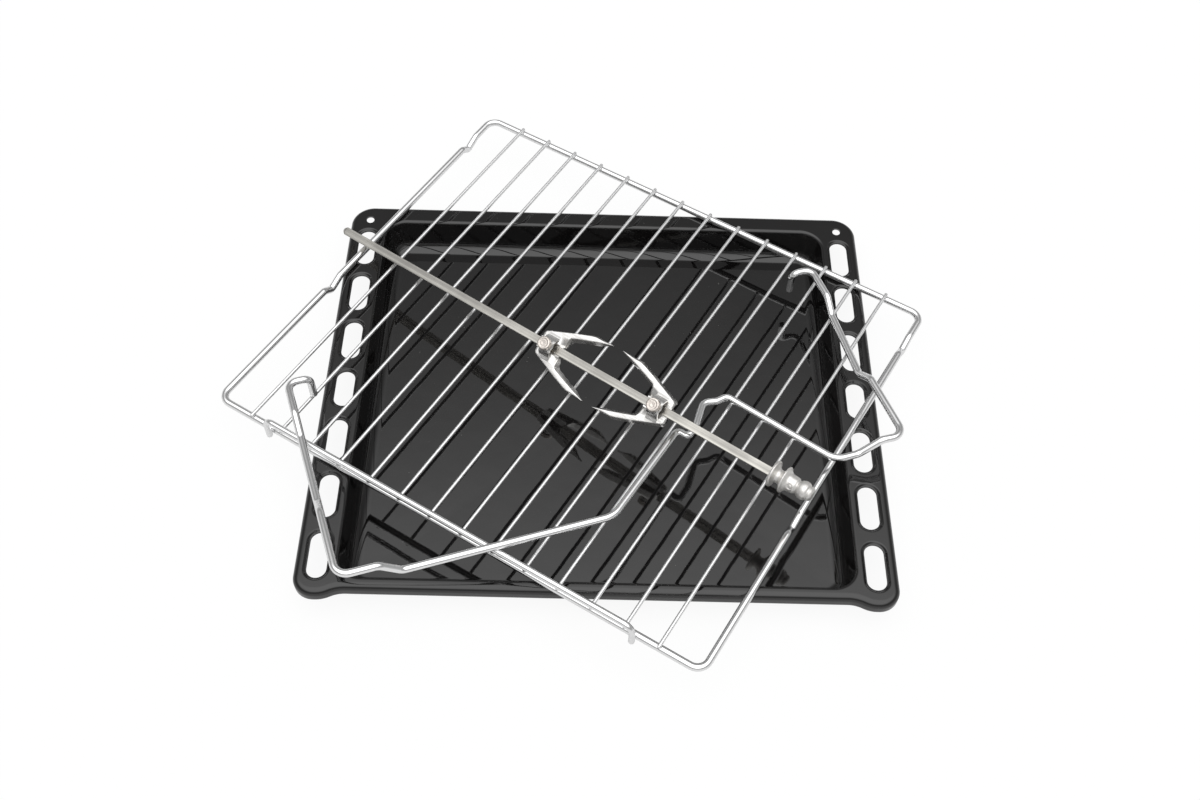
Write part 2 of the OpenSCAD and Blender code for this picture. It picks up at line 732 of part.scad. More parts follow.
tray_pan();
shelf_frame();
cross_wire_01();
cross_wire_02();
cross_wire_03();
cross_wire_04();
cross_wire_05();
cross_wire_06();
cross_wire_07();
cross_wire_08();
cross_wire_09();
cross_wire_10();
cross_wire_11();
cross_wire_12();
cross_wire_13();
cross_wire_14();
stop_rail();
cradle_wire();
spit_bar();
spit_end();
end_pin();
left_fork();
left_clamp_screw();
right_fork();
right_clamp_screw();
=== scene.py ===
import json
import math

import bmesh
import bpy
import numpy as np
from mathutils import Matrix, Vector
from mathutils.geometry import delaunay_2d_cdt


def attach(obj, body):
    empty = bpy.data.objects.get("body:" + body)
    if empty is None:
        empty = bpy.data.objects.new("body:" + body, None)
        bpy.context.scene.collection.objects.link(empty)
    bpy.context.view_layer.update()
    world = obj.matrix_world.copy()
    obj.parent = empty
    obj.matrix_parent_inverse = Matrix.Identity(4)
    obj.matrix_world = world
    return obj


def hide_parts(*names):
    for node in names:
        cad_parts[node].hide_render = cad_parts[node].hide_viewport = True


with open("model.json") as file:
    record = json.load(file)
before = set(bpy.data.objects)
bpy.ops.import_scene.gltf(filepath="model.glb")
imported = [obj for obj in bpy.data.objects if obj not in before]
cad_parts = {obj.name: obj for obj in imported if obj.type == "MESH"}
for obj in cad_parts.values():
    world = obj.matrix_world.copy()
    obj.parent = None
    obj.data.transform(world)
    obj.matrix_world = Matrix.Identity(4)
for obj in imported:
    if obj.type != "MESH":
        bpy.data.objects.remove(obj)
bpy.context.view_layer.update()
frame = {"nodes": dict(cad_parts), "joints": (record.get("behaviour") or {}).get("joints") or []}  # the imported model; every piece below is worked out in its frame, in millimetres
scene = bpy.context.scene
mm = 0.001
print("frame loaded:", len(frame["nodes"]), "nodes")


def unit(a):
    return a / np.linalg.norm(a)


def smoothStep(x):
    x = np.clip(x, 0, 1)
    return x * x * (3 - 2 * x)


# Mesh helpers


def makeObject(name, points, faces, material, sharp=None):
    # points in millimetres; edges that bend by more than `sharp` degrees stay sharp
    mesh = bpy.data.meshes.new(name)
    mesh.from_pydata((np.asarray(points, float) * mm).tolist(), [], [list(map(int, f)) for f in faces])
    mesh.polygons.foreach_set("use_smooth", np.ones(len(mesh.polygons), bool))
    if sharp:
        mesh.set_sharp_from_angle(angle=math.radians(sharp))
    mesh.materials.append(material)
    mesh.update()
    made = bpy.data.objects.new(name, mesh)
    scene.collection.objects.link(made)
    return made


def place(piece, body, slot, *nodes):
    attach(piece, body)
    if nodes:
        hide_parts(*nodes)
    return piece


def gridFaces(rows, cols, wrapRows=False, wrapCols=True, start=0):
    # quads between neighbouring rows and columns of a grid of points
    a, b = np.meshgrid(np.arange(rows - (not wrapRows)), np.arange(cols - (not wrapCols)), indexing="ij")
    c, d = (a + 1) % rows, (b + 1) % cols
    quads = np.stack([a * cols + b, a * cols + d, c * cols + d, c * cols + b], -1)
    return (quads.reshape(-1, 4) + start).tolist()


def turnAbout(points, axis, angle):
    return np.asarray(points) @ np.array(Matrix.Rotation(angle, 3, Vector(axis))).T


# Bent wire: straight stretches with an arc at each corner, and a round section carried along


def bentLine(corners, closed=False, stepDegrees=5):
    # corners are (point, bend radius); an arc touches both stretches and gets one station per step
    places = [np.array(c[0], float) for c in corners]
    count = len(places)
    stations = []
    for i, (_, bend) in enumerate(corners):
        if not closed and i in (0, count - 1):
            stations.append(places[i])
            continue
        here = places[i]
        came = unit(here - places[i - 1])
        goes = unit(places[(i + 1) % count] - here)
        angle = math.acos(np.clip(came @ goes, -1, 1))
        axis = unit(np.cross(came, goes))
        inward = np.cross(axis, came)
        start = here - came * bend * math.tan(angle / 2)
        for k in range(steps := max(2, math.ceil(math.degrees(angle) / stepDegrees)), -1, -1):
            a = angle * (1 - k / steps)
            stations.append(start + bend * (math.sin(a) * came + (1 - math.cos(a)) * inward))
    return np.array(stations)


def carriedSection(line, closed=False):
    # two directions across the wire at each station, turned as little as possible along it
    ahead = np.roll(line, -1, 0) - line
    ahead /= np.linalg.norm(ahead, axis=1)[:, None]
    behind = np.roll(ahead, 1, 0)
    if not closed:
        ahead[-1] = behind[-1]
        behind[0] = ahead[0]
    along = ahead + behind
    along /= np.linalg.norm(along, axis=1)[:, None]
    side = np.zeros_like(line)
    seed = np.eye(3)[np.argmin(np.abs(along[0]))]
    side[0] = unit(np.cross(along[0], seed))
    for i in range(1, len(line)):
        turned = side[i - 1] - along[i] * (side[i - 1] @ along[i])
        side[i] = unit(turned)
    if closed:  # spread what is left over at the seam
        last = unit(side[-1] - along[0] * (side[-1] @ along[0]))
        gap = math.atan2(np.cross(last, side[0]) @ along[0], last @ side[0])
        spread = gap * np.arange(len(line)) / len(line)
        other = np.cross(along, side)
        side = side * np.cos(spread)[:, None] + other * np.sin(spread)[:, None]
    return along, side, np.cross(along, side)


def wirePiece(name, line, radius, material, sides=24, closed=False, heat=None):
    # section ring: station + radius * (cos a * side + sin a * other); free ends are rounded off
    line = np.asarray(line, float)
    radii = np.full(len(line), float(radius))
    if not closed:
        rounding = [(0.0, 0.62), (0.09, 0.87), (0.24, 0.97), (0.45, 1.0)]  # (depth, share) of the radius
        first, last = unit(line[1] - line[0]), unit(line[-2] - line[-1])
        head = [line[0] + first * radius * d for d, _ in rounding]
        tail = [line[-1] + last * radius * d for d, _ in reversed(rounding)]
        line = np.vstack([head, line[1:-1], tail])
        shares = [s for _, s in rounding]
        radii = np.concatenate([np.array(shares) * radius, radii[1:-1], np.array(shares[::-1]) * radius])
    _, side, other = carriedSection(line, closed)
    a = np.linspace(0, 2 * math.pi, sides, endpoint=False)
    ring = np.cos(a)[None, :, None] * side[:, None] + np.sin(a)[None, :, None] * other[:, None]
    points = (line[:, None] + radii[:, None, None] * ring).reshape(-1, 3)
    faces = gridFaces(len(line), sides, wrapRows=closed)
    if not closed:
        faces.append(list(range(sides))[::-1])
        faces.append([(len(line) - 1) * sides + i for i in range(sides)])
    made = makeObject(name, points, faces, material)
    layer = made.data.attributes.new("heat", "FLOAT", "POINT")
    values = np.zeros(len(points)) if heat is None else heat(points)
    layer.data.foreach_set("value", values.astype(np.float32))
    return made


def turnedPiece(name, profile, sides, origin, axis, across, material, sharp=35, shape=None):
    # profile of (distance along axis, radius) turned about the axis; both ends close on it
    profile = np.asarray(profile, float)
    third = np.cross(axis, across)
    a = np.linspace(0, 2 * math.pi, sides, endpoint=False)
    radii = np.repeat(profile[:, 1:2], sides, 1)
    if shape is not None:
        radii = shape(np.repeat(profile[:, 0:1], sides, 1), a[None, :], radii)
    ring = np.cos(a)[:, None] * across + np.sin(a)[:, None] * third
    points = origin + profile[:, 0, None, None] * axis + radii[..., None] * ring[None]
    points = points.reshape(-1, 3)
    faces = gridFaces(len(profile), sides)
    faces.append(list(range(sides))[::-1])
    faces.append([(len(profile) - 1) * sides + i for i in range(sides)])
    return makeObject(name, points, faces, material, sharp)


def smoothProfile(points, steps=8):
    # Catmull-Rom curve through the points; a point given twice stays a corner
    p = np.asarray(points, float)
    p = np.vstack([2 * p[0] - p[1], p, 2 * p[-1] - p[-2]])
    s = np.linspace(0, 1, steps, endpoint=False)[:, None]
    made = []
    for a, b, c, d in zip(p, p[1:], p[2:], p[3:]):
        if np.allclose(b, c):
            continue
        m0, m1 = (c - a) / 2, (d - b) / 2
        m0 = c - b if np.allclose(a, b) else m0
        m1 = c - b if np.allclose(c, d) else m1
        made.append((2 * s**3 - 3 * s**2 + 1) * b + (s**3 - 2 * s**2 + s) * m0
                    + (3 * s**2 - 2 * s**3) * c + (s**3 - s**2) * m1)
    return np.vstack(made + [p[-2:-1]])


# Materials

enamel = {
    "colour": (0.0040, 0.0037, 0.0038, 1),
    "worn": (0.0072, 0.0066, 0.0065, 1),
    "roughness": (0.022, 0.055),
    "ior": 1.62,
    "waves": 38,  # per metre, the slow waviness of a pressed and fired sheet
    "peel": 520,
    "specks": 260,
}
chromePlate = {
    "colour": (0.97, 0.97, 0.97, 1),
    "shade": (0.90, 0.90, 0.905, 1),
    "heated": (0.36, 0.33, 0.31, 1),
    "roughness": (0.13, 0.20),
}
brightWire = {**chromePlate, "roughness": (0.30, 0.38)}  # the thin wires have a softer shine
barSteel = {"colour": (0.58, 0.565, 0.525, 1), "shade": (0.33, 0.32, 0.30, 1), "roughness": (0.20, 0.30)}
forkSteel = {"colour": (0.90, 0.89, 0.875, 1), "shade": (0.66, 0.65, 0.63, 1), "roughness": (0.20, 0.36)}
castSteel = {"colour": (0.86, 0.845, 0.82, 1), "shade": (0.72, 0.705, 0.685, 1), "roughness": (0.40, 0.58)}
screwSteel = {"colour": (0.80, 0.745, 0.69, 1), "shade": (0.55, 0.50, 0.46, 1), "roughness": (0.26, 0.42)}


class Shader:
    # one node tree with its Principled shader, wired up by short calls

    def __init__(self, name):
        self.material = bpy.data.materials.new(name)
        self.material.use_nodes = True
        self.tree = self.material.node_tree
        self.surface = self.tree.nodes["Principled BSDF"]
        self.coords = self.node("ShaderNodeTexCoord").outputs["Object"]

    def node(self, kind, **settings):
        made = self.tree.nodes.new(kind)
        for key, value in settings.items():
            if hasattr(made, key):
                setattr(made, key, value)
            else:
                made.inputs[key.replace("_", " ")].default_value = value
        return made

    def link(self, source, target):
        self.tree.links.new(source, target)

    def mapped(self, turn=(0, 0, 0), stretch=(1, 1, 1)):
        turned = self.node("ShaderNodeMapping")
        turned.inputs["Rotation"].default_value = turn
        self.link(self.coords, turned.inputs["Vector"])
        made = self.node("ShaderNodeVectorMath", operation="MULTIPLY")
        made.inputs[1].default_value = stretch
        self.link(turned.outputs["Vector"], made.inputs[0])
        return made.outputs["Vector"]

    def noise(self, scale, detail=4, rough=0.55, coords=None):
        made = self.node("ShaderNodeTexNoise", Scale=scale, Detail=detail, Roughness=rough)
        self.link(coords or self.coords, made.inputs["Vector"])
        return made.outputs["Fac"]

    def spread(self, value, low, high, to=(0, 1)):
        made = self.node("ShaderNodeMapRange", interpolation_type="SMOOTHSTEP")
        self.link(value, made.inputs["Value"])
        for key, number in zip(("From Min", "From Max", "To Min", "To Max"), (low, high, *to)):
            made.inputs[key].default_value = number
        return made.outputs["Result"]

    def mixed(self, factor, a, b):
        made = self.node("ShaderNodeMix", data_type="RGBA")
        for value, target in ((factor, 0), (a, 6), (b, 7)):
            if isinstance(value, bpy.types.NodeSocket):
                self.link(value, made.inputs[target])
            else:
                made.inputs[target].default_value = value
        return made.outputs[2]

    def maths(self, kind, a, b):
        made = self.node("ShaderNodeMath", operation=kind)
        for value, target in ((a, 0), (b, 1)):
            if isinstance(value, bpy.types.NodeSocket):
                self.link(value, made.inputs[target])
            else:
                made.inputs[target].default_value = value
        return made.outputs[0]

    def bump(self, layers):
        # layers of (height output, depth in metres); each bump is laid over the one before
        last = None
        for height, depth in layers:
            made = self.node("ShaderNodeBump", Strength=1.0, Distance=depth)
            self.link(height, made.inputs["Height"])
            if last:
                self.link(last, made.inputs["Normal"])
            last = made.outputs["Normal"]
        self.link(last, self.surface.inputs["Normal"])


def enamelMaterial(name, look):
    # fired glass enamel: near black, with slow waves, fine orange peel and a few pinhole specks
    made = Shader(name)
    surface = made.surface
    surface.inputs["IOR"].default_value = look["ior"]
    cloud = made.noise(9, 5)
    specks = made.node("ShaderNodeTexVoronoi", feature="F1", Scale=look["specks"])
    made.link(made.coords, specks.inputs["Vector"])
    dot = made.spread(specks.outputs["Distance"], 0.10, 0.045)
    rare = made.spread(made.noise(70, 2), 0.63, 0.68)
    pinhole = made.maths("MULTIPLY", dot, rare)
    tone = made.mixed(made.spread(cloud, 0.35, 0.7), look["colour"], look["worn"])
    made.link(made.mixed(pinhole, tone, (0.20, 0.20, 0.19, 1)), surface.inputs["Base Color"])
    rough = made.spread(made.noise(26, 6, 0.65), 0.3, 0.75, look["roughness"])
    made.link(rough, surface.inputs["Roughness"])
    made.bump([(made.noise(look["waves"], 2, 0.4), 0.00009), (made.noise(look["peel"], 2), 0.000006),
               (pinhole, -0.00004)])
    return made.material


def metalMaterial(name, look, grain=(1, 1, 1), turn=(0, 0, 0), fine=900, coarse=60, depths=(0.00003, 0.000012)):
    # plated or bare steel: patchy tone, streaks along the grain, and two scales of bump
    made = Shader(name)
    surface = made.surface
    surface.inputs["Metallic"].default_value = 1.0
    along = made.mapped(turn, grain)
    streak = made.noise(fine, 5, 0.6, along)
    patch = made.noise(coarse, 5, 0.6)
    tone = made.maths("MULTIPLY_ADD", streak, 0.6)
    tone.node.inputs[2].default_value = 0.0
    both = made.maths("ADD", tone, made.maths("MULTIPLY", patch, 0.4))
    shade = made.mixed(made.spread(both, 0.36, 0.62), look["shade"], look["colour"])
    rough = made.spread(both, 0.35, 0.65, look["roughness"][::-1])
    if "heated" in look:
        heat = made.node("ShaderNodeAttribute", attribute_name="heat").outputs["Fac"]
        burnt = made.spread(made.maths("ADD", heat, made.maths("MULTIPLY", patch, 0.35)), 0.45, 1.15)
        shade = made.mixed(burnt, shade, look["heated"])
        rough = made.maths("ADD", rough, made.maths("MULTIPLY", burnt, 0.22))
    made.link(shade, surface.inputs["Base Color"])
    made.link(rough, surface.inputs["Roughness"])
    made.bump([(made.noise(coarse * 3, 3), depths[0]), (streak, depths[1])])
    return made.material


# Tray: one sheet. Its top side is a set of rings round the outline, the pan, the slots and the holes,
# joined by the flat flange and the flat bottom, and then given its thickness.

tray = {
    "width": 454, "depth": 391.4, "height": 30, "sheet": 1.0,
    "sideMargin": 29.5, "backMargin": 16, "frontMargin": 7.1, "panCorner": 21, "wallReach": 16.5,
    "topBend": 3, "bottomBend": 10, "lipHeight": 10, "lipShoulder": 5,
    "backCorner": 20, "lobeCorner": 16, "lobeDepth": 5.3, "lobeWidth": 17.3, "lobeSwing": 22,
    "slotEdge": 17, "slotWidth": 15, "slotFront": 13.9, "slotBack": 29.7, "midSlotLength": 34.6,
    "slotWeb": 13.8, "slotRim": 3, "slotDish": 1.5, "hole": 6.5, "holeEdge": 17,
    "flat": 0.6,  # width of the flat strip that ends each ring
    "dished": 1.5,  # how much higher the bottom lies in the pan's corners than in its middle
}


def arcPoints(centre, radius, start, end, steps):
    # points and outward normals on an arc; a negative radius turns the normals inwards
    a = np.radians(np.linspace(start, end, steps + 1))
    out = np.stack([np.cos(a), np.sin(a)], -1)
    return np.array(centre) + abs(radius) * out, out * np.sign(radius)


def trayOutline(t):
    # anticlockwise outline with two front lobes, each ending in an S of two equal arcs
    w, d = t["width"] / 2, t["depth"] / 2
    front = -d + t["lobeDepth"]
    swing = ((t["lobeSwing"] / 2) ** 2 + (t["lobeDepth"] / 2) ** 2) / t["lobeDepth"]
    angle = math.degrees(math.asin(t["lobeSwing"] / 2 / swing))
    lobeX = w - t["lobeWidth"]
    back, lobe = t["backCorner"], t["lobeCorner"]
    right = [arcPoints((lobeX - t["lobeSwing"], front - swing), -swing, 90, 90 - angle, 12),
             arcPoints((lobeX, -d + swing), swing, 270 - angle, 270, 12),
             arcPoints((w - lobe, -d + lobe), lobe, 270, 360, 24),
             arcPoints((w - back, d - back), back, 0, 90, 28)]
    points = np.vstack([p for p, _ in right])
    normals = np.vstack([n for _, n in right])
    flip = np.array([-1, 1])
    return np.vstack([points, points[::-1] * flip]), np.vstack([normals, normals[::-1] * flip])


def roundedRectangle(x0, y0, x1, y1, radius, steps=22):
    corners = [((x1 - radius, y0 + radius), 270), ((x1 - radius, y1 - radius), 0),
               ((x0 + radius, y1 - radius), 90), ((x0 + radius, y0 + radius), 180)]
    made = [arcPoints(c, radius, a, a + 90, steps) for c, a in corners]
    return np.vstack([p for p, _ in made]), np.vstack([n for _, n in made])


def slotOutline(x, y, length, width, steps=18):
    half = (length - width) / 2
    made = [arcPoints((x, y + half), width / 2, 0, 180, steps), arcPoints((x, y - half), width / 2, 180, 360, steps)]
    return np.vstack([p for p, _ in made]), np.vstack([n for _, n in made])


def bendSteps(centre, radius, start, end, steps):
    a = np.radians(np.linspace(start, end, steps + 1))
    return [(centre[0] + radius * math.cos(x), centre[1] + radius * math.sin(x)) for x in a]


def traySections(t):
    # (distance, height) along each ring's section, counted outwards from its outline
    top, flat = t["height"], t["flat"]
    shoulder, low = t["lipShoulder"], t["height"] - t["lipHeight"]
    rim = [(0, low), (0, low + 2.5), (0, top - shoulder - 0.4)]
    rim += bendSteps((-shoulder, top - shoulder), shoulder, 0, 90, 10)
    rim.append((-shoulder - flat, top))
    bends = t["topBend"] + t["bottomBend"]
    drop = top - t["sheet"] - bends
    slope = math.degrees(math.atan2(drop, t["wallReach"])
                         + math.asin(bends / math.hypot(t["wallReach"], drop)))
    wall = [(flat, top)] + bendSteps((0, top - t["topBend"]), t["topBend"], 90, 90 + slope, 12)
    wall += bendSteps((-t["wallReach"], t["sheet"] + t["bottomBend"]), t["bottomBend"], slope - 90, -90, 16)
    wall.append((-t["wallReach"] - flat, t["sheet"]))
    g = np.linspace(1, 0, 13)
    dish = [(t["slotRim"] + flat * 0.8, top)]
    dish += [(t["slotRim"] * x, top - t["slotDish"] * smoothStep((1 - x) / 0.78)) for x in g]
    hole = [(1.4, top), (0.9, top), (0.45, top - 0.12), (0, top - 0.5)]
    return rim, wall, dish, hole


def makeTray(t, material):
    points, faces = [], []

    def addRings(outline, section):
        # rings at the section's distances and heights; returns the point numbers of its first and last ring
        base, normals = outline
        count, start = len(base), sum(len(p) for p in points)
        for distance, height in section:
            ring = base + normals * distance
            points.append(np.column_stack([ring, np.full(count, height)]))
        faces.extend(gridFaces(len(section), count, start=start))
        last = start + (len(section) - 1) * count
        return list(range(start, start + count)), list(range(last, last + count))

    def addFlat(loops):
        # the level sheet between an outer loop and the holes in it
        every = np.vstack(points)
        numbers = [n for loop in loops for n in loop]
        edges, start = [], 0
        for loop in loops:
            edges += [(start + i, start + (i + 1) % len(loop)) for i in range(len(loop))]
            start += len(loop)
        corners, _, triangles, origin, _, _ = delaunay_2d_cdt(
            [Vector(every[n, :2]) for n in numbers], edges, [], 0, 1e-6)
        middles = np.array([np.mean([corners[i] for i in tri], 0) for tri in triangles])
        inside = np.ones(len(middles), bool)
        for k, loop in enumerate(loops):
            within = insideLoop(middles, every[loop, :2])
            inside &= within if k == 0 else ~within
        back = [numbers[o[0]] for o in origin]
        faces.extend([[back[i] for i in tri] for tri, keep in zip(triangles, inside) if keep])

    w, d = t["width"] / 2, t["depth"] / 2
    rim, wall, dish, hole = traySections(t)
    flange = [addRings(trayOutline(t), rim)[1]]
    pan = roundedRectangle(t["sideMargin"] - w, t["lobeDepth"] - d + t["frontMargin"], w - t["sideMargin"],
                           d - t["backMargin"], t["panCorner"])
    edge, foot = addRings(pan, wall)
    flange.append(edge)
    middle, web = t["midSlotLength"], t["slotWeb"]
    usual = (t["depth"] - t["slotFront"] - t["slotBack"] - middle) / 6 - web
    for side in (-1, 1):
        x = side * (w - t["slotEdge"])
        start = t["slotFront"] - d
        for length in [usual] * 3 + [middle] + [usual] * 3:
            flange.append(addRings(slotOutline(x, start + length / 2, length, t["slotWidth"]), dish)[0])
            start += length + web
        flange.append(addRings(slotOutline(x, d - t["holeEdge"], t["hole"] + 0.001, t["hole"], 16), hole)[0])
    addFlat(flange)
    shrink = np.linspace(1, 0.04, 34)[1:, None, None]
    bottom = np.vstack(points)[foot]
    centre = [0, (t["lobeDepth"] + t["frontMargin"] - t["backMargin"]) / 2]
    rings = centre + shrink * (bottom[None, :, :2] - centre)
    start, count = sum(len(p) for p in points), len(foot)
    points.append(np.column_stack([rings.reshape(-1, 2), np.full(rings.size // 2, t["sheet"])]))
    faces.extend(gridFaces(len(rings), count, start=start))
    faces.extend([[foot[i], foot[(i + 1) % count], start + (i + 1) % count, start + i] for i in range(count)])
    faces.append([start + (len(rings) - 1) * count + i for i in range(count)])
    every = np.vstack(points)
    # the pan is slightly dished: it rises by the square of the distance, less and less up its walls
    spanX, spanY = w - t["sideMargin"] - t["wallReach"], d - t["frontMargin"] - t["wallReach"]
    rise = t["dished"] * np.minimum(1, 0.6 * (every[:, 0] / spanX) ** 2 + 0.4 * (every[:, 1] / spanY) ** 2)
    inPan = insideLoop(every[:, :2], every[edge, :2] * 0.9999)
    every[:, 2] += rise * inPan * (1 - smoothStep((every[:, 2] - t["sheet"]) / (t["height"] - t["sheet"] - 3)))
    made = makeObject("trayPan", every, faces, material)
    work = bmesh.new()
    work.from_mesh(made.data)
    bmesh.ops.remove_doubles(work, verts=work.verts, dist=1e-6)
    bmesh.ops.recalc_face_normals(work, faces=work.faces)
    level = max(work.faces, key=lambda f: f.calc_area())
    if level.normal.z < 0:
        bmesh.ops.reverse_faces(work, faces=work.faces)
    work.to_mesh(made.data)
    work.free()
    made.data.polygons.foreach_set("use_smooth", np.ones(len(made.data.polygons), bool))
    thick = made.modifiers.new("thickness", "SOLIDIFY")
    thick.thickness, thick.offset, thick.use_even_offset = t["sheet"] * mm, -1, True
    soft = made.modifiers.new("softEdges", "BEVEL")
    soft.width, soft.segments, soft.limit_method = 0.38 * mm, 3, "ANGLE"
    soft.angle_limit = math.radians(50)
    return made


def insideLoop(places, loop):
    # even-odd rule, all places at once
    x, y = places[:, None, 0], places[:, None, 1]
    x0, y0 = loop[:, 0], loop[:, 1]
    x1, y1 = np.roll(x0, -1), np.roll(y0, -1)
    crosses = (y0 > y) != (y1 > y)
    run = np.where(y1 == y0, 1, y1 - y0)
    left = x < (x1 - x0) * (y - y0) / run + x0
    return (crosses & left).sum(1) % 2 == 1


blackEnamel = enamelMaterial("blackEnamel", enamel)
trayPiece = makeTray(tray, blackEnamel)
place(trayPiece, "tray", "black_enamel", "tray_pan")
print("tray made:", len(trayPiece.data.polygons), "faces")

# Shelf: u runs along its long sides and v to its far side

rest = 0.3  # air between pieces that lie on each other
weld = 0.2
shelf = {
    "length": 446.4, "depth": 387.8, "frameWire": 6, "corner": 10, "turn": -30.83,
    "crossWire": 3, "wires": 14, "pitch": 28.9, "overhang": 2.1,
    "dipDepth": 5.5, "farDip": 153.5, "nearDip": 51.8, "dipClear": 7.7, "dipY": 98.1,
}
rail = {"wire": 5, "rise": 19.3, "length": 335.2, "bend": 8}

halfU, halfV = shelf["length"] / 2, shelf["depth"] / 2
frameR, wireR, railR = shelf["frameWire"] / 2, shelf["crossWire"] / 2, rail["wire"] / 2
frameZ = tray["height"] + rest + frameR
wireZ = frameZ + frameR + wireR - weld
wireTop = wireZ + wireR
railZ = frameZ + rail["rise"]
railV = -halfV - frameR - railR + weld
shelfAngle = math.radians(shelf["turn"])
shelfPlace = np.array([
    -tray["width"] / 2 - shelf["dipClear"] + halfU * math.cos(shelfAngle) - shelf["nearDip"] * math.sin(shelfAngle),
    shelf["dipY"] + halfU * math.sin(shelfAngle) + shelf["nearDip"] * math.cos(shelfAngle), 0])


def onShelf(points):
    return turnAbout(points, (0, 0, 1), shelfAngle) + shelfPlace


def wireU(number):
    return (number - (shelf["wires"] + 1) / 2) * shelf["pitch"]


def frameCorners():
    def dip(u, v):
        return [((u, v + 13.3, frameZ), 8), ((u, v, frameZ - shelf["dipDepth"]), 3.6), ((u, v - 8.5, frameZ), 6)]
    u, v, far, near = halfU, halfV, shelf["farDip"], -shelf["nearDip"]
    bend = shelf["corner"]
    return ([((-u, -v, frameZ), bend), ((u, -v, frameZ), bend)] + dip(u, near)[::-1] + dip(u, far)[::-1]
            + [((u, v, frameZ), bend), ((-u, v, frameZ), bend)] + dip(-u, far) + dip(-u, near))


def nearWelds(points):
    # 1 where a point lies on a weld between a cross wire and the frame, fading out over a few millimetres
    local = turnAbout(points - shelfPlace, (0, 0, 1), -shelfAngle)
    u = (local[:, 0] / shelf["pitch"] - 0.5) % 1
    du = np.minimum(u, 1 - u) * shelf["pitch"]
    du = np.where(np.abs(local[:, 0]) > halfU - 10, 20, du)
    dv = np.abs(np.abs(local[:, 1]) - halfV)
    return np.clip(1.25 - np.hypot(du, dv) / 5.2, 0, 1)


chrome = metalMaterial("chromeWire", chromePlate, fine=1500, coarse=45, depths=(0.000012, 0.0000006))
softChrome = metalMaterial("softChrome", brightWire, fine=1500, coarse=45, depths=(0.000006, 0.0000006))
framePiece = wirePiece("shelfFrame", onShelf(bentLine(frameCorners(), True)), frameR, chrome, 32, True, nearWelds)
place(framePiece, "shelf", "chrome_wire", "shelf_frame")
for number in range(1, shelf["wires"] + 1):
    reach = halfV + shelf["overhang"]
    stations = np.linspace(-reach, reach, 60)
    line = onShelf([(wireU(number), v, wireZ) for v in stations])
    piece = wirePiece(f"crossWire{number:02d}", line, wireR, softChrome, 20, heat=nearWelds)
    place(piece, "shelf", "chrome_wire", f"cross_wire_{number:02d}")


def railCorners():
    end, low = rail["length"] / 2, frameZ - frameR
    return [((-end, railV, low), 0), ((-end, railV, railZ), rail["bend"]), ((end, railV, railZ), rail["bend"]),
            ((end, railV, low), 0)]


railPiece = wirePiece("stopRail", onShelf(bentLine(railCorners())), railR, chrome, 28)
place(railPiece, "shelf", "chrome_wire", "stop_rail")


def makeWelds():
    # each weld is a small waisted collar between the two wires: radius r0 + k h^2 at height h
    points, faces = [], []
    turns = np.linspace(0, 2 * math.pi, 16, endpoint=False)
    heights = np.linspace(-1, 1, 7)
    for number in range(1, shelf["wires"] + 1):
        for side in (-1, 1):
            radius = 1.15 + 0.75 * heights**2
            ring = np.stack([wireU(number) + radius[:, None] * np.cos(turns) * 0.95,
                             side * halfV + radius[:, None] * np.sin(turns) * 1.25,
                             np.repeat(frameZ + frameR - weld / 2 + heights[:, None] * 0.62, 16, 1)], -1)
            start = len(points) * ring.shape[0] * 16
            points.append(ring.reshape(-1, 3))
            faces += gridFaces(len(heights), 16, start=start)
            faces.append([start + i for i in range(16)][::-1])
            faces.append([start + (len(heights) - 1) * 16 + i for i in range(16)])
    made = makeObject("shelfWelds", onShelf(np.vstack(points)), faces, chrome)
    layer = made.data.attributes.new("heat", "FLOAT", "POINT")
    layer.data.foreach_set("value", np.full(len(made.data.vertices), 0.8, np.float32))
    return made


place(makeWelds(), "shelf", "chrome_wire")
print("shelf made")

# Cradle: it rests on the stop rail in two places and on two cross wires with its right leg

cradle = {
    "wire": 6, "turn": 49.8, "length": 445, "leg": 187, "cornerLift": 13, "legLift": 5,
    "hookReach": 17.5, "hookDrop": 22, "bump": 84, "notch": 9, "leftSplay": -2.2, "rightSplay": 4.7,
    "barSeat": 46.7, "leftSeat": -130, "rightSeat": (160.5, 142.5), "cornerPlace": (-24.2, -286.7),
}


def cradlePlane(c):
    # plane through the three seats, with its first axis turned from the shelf's long side
    radius = c["wire"] / 2
    bar = np.array([c["barSeat"], railV, railZ + railR + rest + radius])
    left = np.array([c["leftSeat"], railV, bar[2] - c["legLift"]])
    right = np.array([*c["rightSeat"], wireTop + rest + radius - c["legLift"]])
    up = unit(np.cross(bar - left, right - left))
    angle = math.radians(c["turn"])
    flat = np.array([math.cos(angle), math.sin(angle)])
    first = unit(np.array([*flat, -(up[:2] @ flat) / up[2]]))
    u, v = c["cornerPlace"]
    corner = np.array([u, v, bar[2] - (up[0] * (u - bar[0]) + up[1] * (v - bar[1])) / up[2]])
    return corner, first, np.cross(up, first), up


